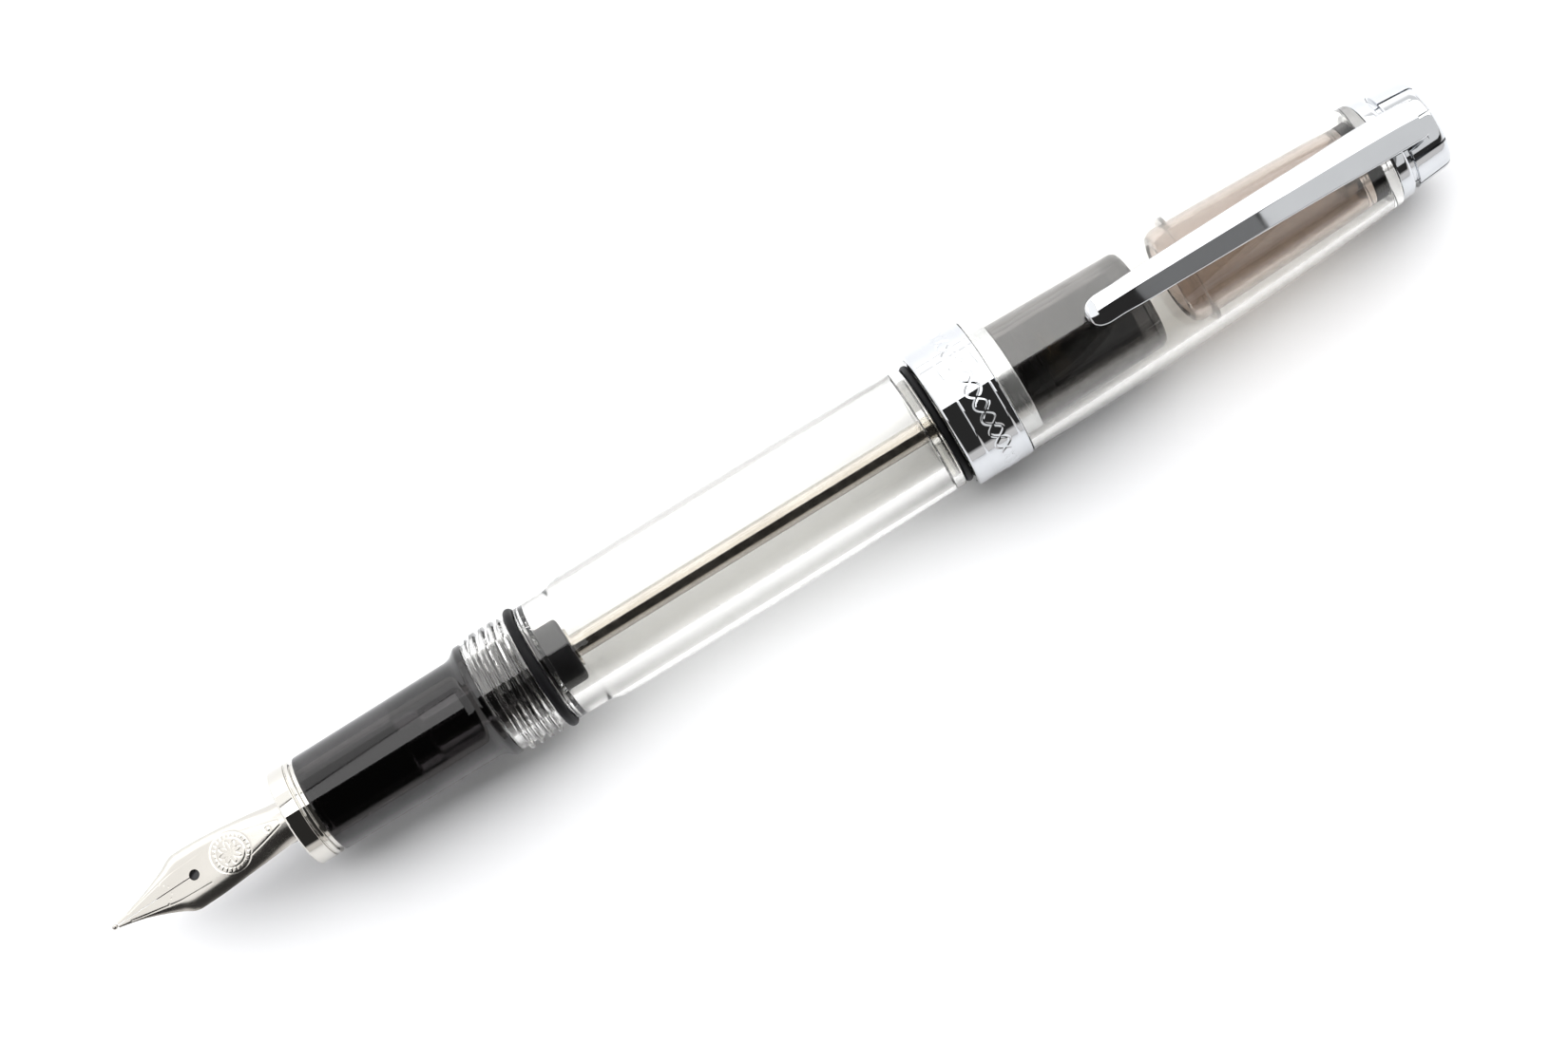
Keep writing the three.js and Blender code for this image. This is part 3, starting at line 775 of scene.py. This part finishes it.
def make_plunger():
    turned("plunger_seal", "plunger", RUBBER, 0.25)
    turned("plunger_washer", "plunger", ROD_STEEL, 0.08)
    turned("plunger_rod", "plunger", ROD_STEEL, 0.15)
    turned("knob_washer", "plunger", ROD_STEEL, 0.05)
    make_knob_nut()


def make_knob():
    turned("knob_collar", "knob", SATIN_CHROME, 0.12)
    turned("filler_knob", "knob", SMOKE_KNOB, 0.15)


# ---------------------------------------------------------------- cap

BAND_ROWS = 120
BAND_SEGMENTS = 600
WAVES = 15  # round the band
WAVE_REACH = 0.8
WAVE_HALF_WIDTH = 0.2
WAVE_DEPTH = 0.075
BAND_GROOVE_HALF_WIDTH = 0.12
BAND_GROOVE_DEPTH = 0.06


def make_cap_band():
    """The chrome band, with two interlaced waves between two fine grooves."""
    points, closed = outline("cap_band")
    points = softened(points, closed, 0.12)
    start, end, outer = span("cap_band")
    outer = min(outer, AXIS_Z / MM)  # the band lies on the table and doesn't sink into it
    points[:, 1] = np.minimum(points[:, 1], outer)
    low, high = start + 2.2, end - 0.7
    middle = (low + high) / 2
    outside = points[:, 1] > outer - 0.02
    first, last = points[outside, 0].min(), points[outside, 0].max()
    face = [(x, outer) for x in np.linspace(first + 0.02, last - 0.02, BAND_ROWS)]
    order, placed = [], False
    for point, on_face in zip(points, outside):
        if not on_face:
            order.append(tuple(point))
        elif not placed:
            order += face if point[0] < middle else face[::-1]
            placed = True

    def pattern(x, r, angles):
        if r < outer - 0.01:
            return np.full(len(angles), r)
        wave = WAVE_REACH * np.cos(angles * WAVES)
        slant = np.hypot(1, WAVE_REACH * WAVES / outer * np.sin(angles * WAVES))
        apart = np.minimum(abs(x - middle - wave), abs(x - middle + wave)) / slant
        depth = WAVE_DEPTH * np.clip(1 - (apart / WAVE_HALF_WIDTH) ** 2, 0, 1)
        from_groove = min(abs(x - low), abs(x - high))
        groove = BAND_GROOVE_DEPTH * max(0.0, 1 - from_groove / BAND_GROOVE_HALF_WIDTH)
        return r - np.maximum(depth, groove)

    points, faces = turned_mesh(np.array(order), closed, BAND_SEGMENTS, pattern)
    new_piece("cap_band_fine", points, faces, "cap", CHROME, ["cap_band"], sharp=40)


FINIAL_HEAD = 163.1
FINIAL_RADIUS = 5.7
FINIAL_EDGE_RADIUS = 5.35
FINIAL_BORE = 1.55
FINIAL_GROOVES = 9
FINIAL_GROOVE_PHASE = math.radians(2)
FINIAL_GROOVE_HALF_WIDTH = 0.14
# The clip's slot, in two steps: where each ends, the height of its floor, and its half width.
CLIP_SLOT = [(165.6, 4.9, 2.5), (164.75, 3.7, 2.1)]


def make_finial():
    """The finial: turned, with grooves along it, a slot for the clip and a seat for its disc."""
    start, end, _ = span("finial")
    neck = FINIAL_RADIUS - 0.5
    inlay = span("finial_inlay")[2] + 0.05
    profile = [
        (start, FINIAL_BORE),
        (start, neck),
        (FINIAL_HEAD, neck),
        (FINIAL_HEAD, FINIAL_RADIUS),
        (end - 0.9, FINIAL_EDGE_RADIUS + 0.03),
        (end - 0.45, FINIAL_EDGE_RADIUS - 0.1),
        (end - 0.12, FINIAL_EDGE_RADIUS - 0.45),
        (end, FINIAL_EDGE_RADIUS - 0.95),
        (end, inlay),
        (end - 0.75, inlay),
        (end - 0.75, 0),
        (end - 1.8, 0),
        (end - 1.8, FINIAL_BORE),
    ]
    points, faces = turned_mesh(softened(np.array(profile), True, 0.1), True, 160)
    finial = new_piece("finial_fine", points, faces, "cap", CHROME, ["finial"])
    for x_end, floor, half in CLIP_SLOT:
        cut_with(finial, *box_mesh((161, x_end), (-half, half), (floor, 8)))
    half = FINIAL_GROOVE_HALF_WIDTH
    for k in range(FINIAL_GROOVES):
        turn = Matrix.Rotation(-FINIAL_GROOVE_PHASE + k * 2 * math.pi / FINIAL_GROOVES, 3, "X")
        groove, sides = box_mesh(
            (FINIAL_HEAD - 0.5, end + 1),
            (-half, half),
            (FINIAL_EDGE_RADIUS - 0.4, 7),
        )
        cut_with(finial, [turn @ Vector(p) for p in groove], sides)
    finial.data.shade_smooth()
    finial.data.set_sharp_from_angle(angle=math.radians(35))


# The clip's arm: x, half width, height of the ridge, of the shoulders, and of the underside.
CLIP_OUTLINE = [
    (123.9, 0.5, 9.4, 9.2, 8.85),
    (124.25, 1.1, 9.85, 9.45, 8.6),
    (124.9, 1.55, 10.18, 9.6, 8.45),
    (125.9, 1.72, 10.42, 9.7, 8.45),
    (127.5, 1.7, 10.57, 9.75, 8.6),
    (129.9, 1.8, 10.6, 9.75, 8.95),
    (143.0, 2.05, 10.35, 9.55, 8.95),
    (153.0, 2.2, 9.85, 9.05, 8.4),
    (159.0, 2.35, 9.2, 8.6, 7.6),
    (162.0, 2.35, 8.6, 8.15, 6.75),
    (163.8, 2.3, 7.95, 7.6, 6.3),
    (164.9, 2.25, 7.4, 7.15, 5.8),
    (165.35, 2.15, 7.15, 6.95, 5.5),
]


def make_clip():
    """The clip: an arm of two facets that meet in a ridge, and the tongue that holds it."""
    width, ridge, shoulder, under = smooth_columns(CLIP_OUTLINE)
    first, last = CLIP_OUTLINE[0][0], CLIP_OUTLINE[-1][0]
    along = np.concatenate(
        [
            first + 1.5 * (1 - np.cos(np.linspace(0, math.pi / 2, 24))),
            np.linspace(first + 1.6, last - 0.3, 150),
            np.linspace(last - 0.2, last, 5),
        ]
    )
    sections = []
    for x in along:
        w, top, side, low = (float(curve(x)) for curve in (width, ridge, shoulder, under))
        corners = np.array([(-w, low), (w, low), (w, side), (0, top), (-w, side)])
        ridge_fillet = float(np.interp(x, (first, first + 6), (3.0, 0.2)))
        section = softened(corners, True, [0.22, 0.22, 0.22, ridge_fillet, 0.22], 0, 5)
        sections.append(np.column_stack([np.full(len(section), x), section]))
    points, faces = lofted_mesh(sections)
    new_piece("clip_arm", points, faces, "clip", CHROME, ["pocket_clip"], sharp=50)
    tongue = np.array([(163.3, -1.8), (164.3, -1.8), (164.3, 1.8), (163.3, 1.8)])
    loop = softened(tongue, True, 0.2, 0, 4)
    sections = [np.column_stack([loop, np.full(len(loop), z)]) for z in (4.1, 6.6)]
    points, faces = lofted_mesh(sections)
    new_piece("clip_tongue", points, faces, "clip", CHROME, [], sharp=30)


def make_cap():
    turned("cap_body", "cap", CLEAR, 0.12, 160)
    make_cap_band()
    turned("inner_liner", "cap", TINTED, 0.15)
    turned("liner_gasket", "cap", RUBBER, 0.1)
    turned("liner_screw", "cap", ROD_STEEL, 0.1)
    turned("clip_ring", "cap", CHROME, 0.12)
    make_finial()
    turned("finial_inlay", "cap", BLACK, 0.05)
    make_clip()


make_barrel_body()
make_plunger()
make_knob()
make_cap()

# ---------------------------------------------------------------- floor, light and camera

TABLE_HALF_SIZE = 0.6
CEILING = 0.6
# The room seen from the table: the sine of the elevation, and the brightness there.
ROOM = [(0.0, 0.8), (0.01, 0.85), (0.2, 0.85), (0.3, 0.035)]
ROOM_TINT = (1.0, 0.97, 0.95)


def make_floor():
    """The white table, which isn't part of the pen."""
    size = TABLE_HALF_SIZE
    mesh = bpy.data.meshes.new("floor")
    corners = [(-size, -size, 0), (size, -size, 0), (size, size, 0), (-size, size, 0)]
    mesh.from_pydata(corners, [], [(0, 1, 2, 3)])
    shader = Shader("white_table")
    shader.tinted(shader.noise(6), (0.885, 0.89, 0.905), (0.905, 0.91, 0.925))
    shader.set(Roughness=0.9)
    mesh.materials.append(shader.material)
    floor = bpy.data.objects.new("floor", mesh)
    bpy.context.scene.collection.objects.link(floor)


def panel(name, centre, size, radiance, facing=(0, 0, -1), seen=True):
    """A soft rectangular light that only reflections see, or that only lights matt surfaces."""
    light = bpy.data.lights.new(name, "AREA")
    light.shape = "RECTANGLE"
    light.size, light.size_y = size
    light.energy = radiance * math.pi * size[0] * size[1]
    lamp = bpy.data.objects.new(name, light)
    lamp.location = centre
    lamp.rotation_mode = "QUATERNION"
    lamp.rotation_quaternion = Vector(facing).to_track_quat("-Z", "Y")
    lamp.visible_camera = False
    lamp.visible_diffuse = not seen
    lamp.visible_glossy = seen
    lamp.visible_transmission = seen
    bpy.context.scene.collection.objects.link(lamp)


def ceiling(name, x_range, y_range, radiance):
    """A level panel above the table that shows in reflections."""
    centre = (sum(x_range) / 2, sum(y_range) / 2, CEILING)
    panel(name, centre, (x_range[1] - x_range[0], y_range[1] - y_range[0]), radiance)


def lamp_towards(name, tilt, heading, distance, size, radiance):
    """A panel for matt surfaces that faces the pen.

    It stands tilt degrees off the vertical, at heading degrees from +Y to +X.
    """
    tilt, heading = math.radians(tilt), math.radians(heading)
    level = math.sin(tilt)
    towards = Vector((level * math.sin(heading), level * math.cos(heading), math.cos(tilt)))
    panel(name, towards * distance, size, radiance, -towards, seen=False)


def make_lights():
    """Panels that shape the reflections, lamps for the matt surfaces, and the room round them."""
    ceiling("key_softbox", (-0.185, 0.14), (0.06, 2.0), 2.6)
    ceiling("key_far", (0.14, 2.4), (0.06, 0.85), 2.4)
    ceiling("key_back", (0.14, 0.45), (0.85, 2.0), 2.4)
    ceiling("key_dim", (0.45, 2.4), (0.85, 2.0), 1.0)
    ceiling("left_card", (-2.4, -0.19), (-0.15, 0.9), 1.5)
    ceiling("left_far", (-2.4, -0.19), (0.9, 2.0), 2.2)
    ceiling("right_card", (0.24, 2.4), (-0.9, 0.05), 0.9)
    ceiling("front_card", (0.145, 0.235), (-0.9, -0.03), 0.22)
    panel("window", (-1.13, 2.0, 0.3), (2.54, 0.6), 1.5, (0, -1, 0))
    panel("window_dim", (1.27, 2.0, 0.3), (2.26, 0.6), 0.9, (0, -1, 0))
    lamp_towards("key_lamp", 40, 6, 0.6, (1.6, 0.9), 3.3)
    lamp_towards("fill_lamp", 60, 180, 0.8, (1.6, 0.3), 0.3)
    lamp_towards("end_lamp", 50, 100, 0.7, (0.9, 0.6), 0.8)
    world = bpy.data.worlds.new("studio")
    world.use_nodes = True
    tree = world.node_tree
    direction = tree.nodes.new("ShaderNodeTexCoord")
    parts = tree.nodes.new("ShaderNodeSeparateXYZ")
    ramp = tree.nodes.new("ShaderNodeValToRGB")
    while len(ramp.color_ramp.elements) < len(ROOM):
        ramp.color_ramp.elements.new(0.5)
    for element, (sine, level) in zip(ramp.color_ramp.elements, ROOM):
        element.position = sine
        element.color = (*(level * share for share in ROOM_TINT), 1)
    tree.links.new(direction.outputs["Generated"], parts.inputs["Vector"])
    tree.links.new(parts.outputs["Z"], ramp.inputs["Fac"])
    tree.links.new(ramp.outputs["Color"], tree.nodes["Background"].inputs["Color"])
    bpy.context.scene.world = world


CAMERA_DISTANCE = 0.34
CAMERA_ELEVATION = math.radians(83.5)
CAMERA_ROLL = math.radians(31.66)
LENS = 71.9
LOOK_AT = to_row((85.3, -0.5, 0))


def make_camera():
    """The camera, almost straight above, rolled so that the pen lies across the frame."""
    camera = bpy.data.objects.new("camera", bpy.data.cameras.new("camera"))
    camera.data.lens = LENS
    camera.data.sensor_width = 36
    camera.data.clip_start = 0.01
    back = Vector((0, -math.cos(CAMERA_ELEVATION), math.sin(CAMERA_ELEVATION)))
    right = Vector((1, 0, 0))
    up = back.cross(right)
    c, s = math.cos(CAMERA_ROLL), math.sin(CAMERA_ROLL)
    axes = Matrix((right * c - up * s, right * s + up * c, back)).transposed()
    place = Vector(LOOK_AT) + back * CAMERA_DISTANCE
    camera.matrix_world = Matrix.Translation(place) @ axes.to_4x4()
    bpy.context.scene.collection.objects.link(camera)
    bpy.context.scene.camera = camera


make_floor()
make_lights()
make_camera()

scene = bpy.context.scene
scene.view_settings.view_transform = "Standard"
scene.cycles.max_bounces = 24
scene.cycles.transmission_bounces = 24
scene.cycles.transparent_max_bounces = 24
scene.cycles.glossy_bounces = 8
scene.cycles.diffuse_bounces = 4
scene.cycles.blur_glossy = 0.3
scene.cycles.caustics_refractive = False
scene.cycles.caustics_reflective = False
scene.cycles.sample_clamp_indirect = 6.0
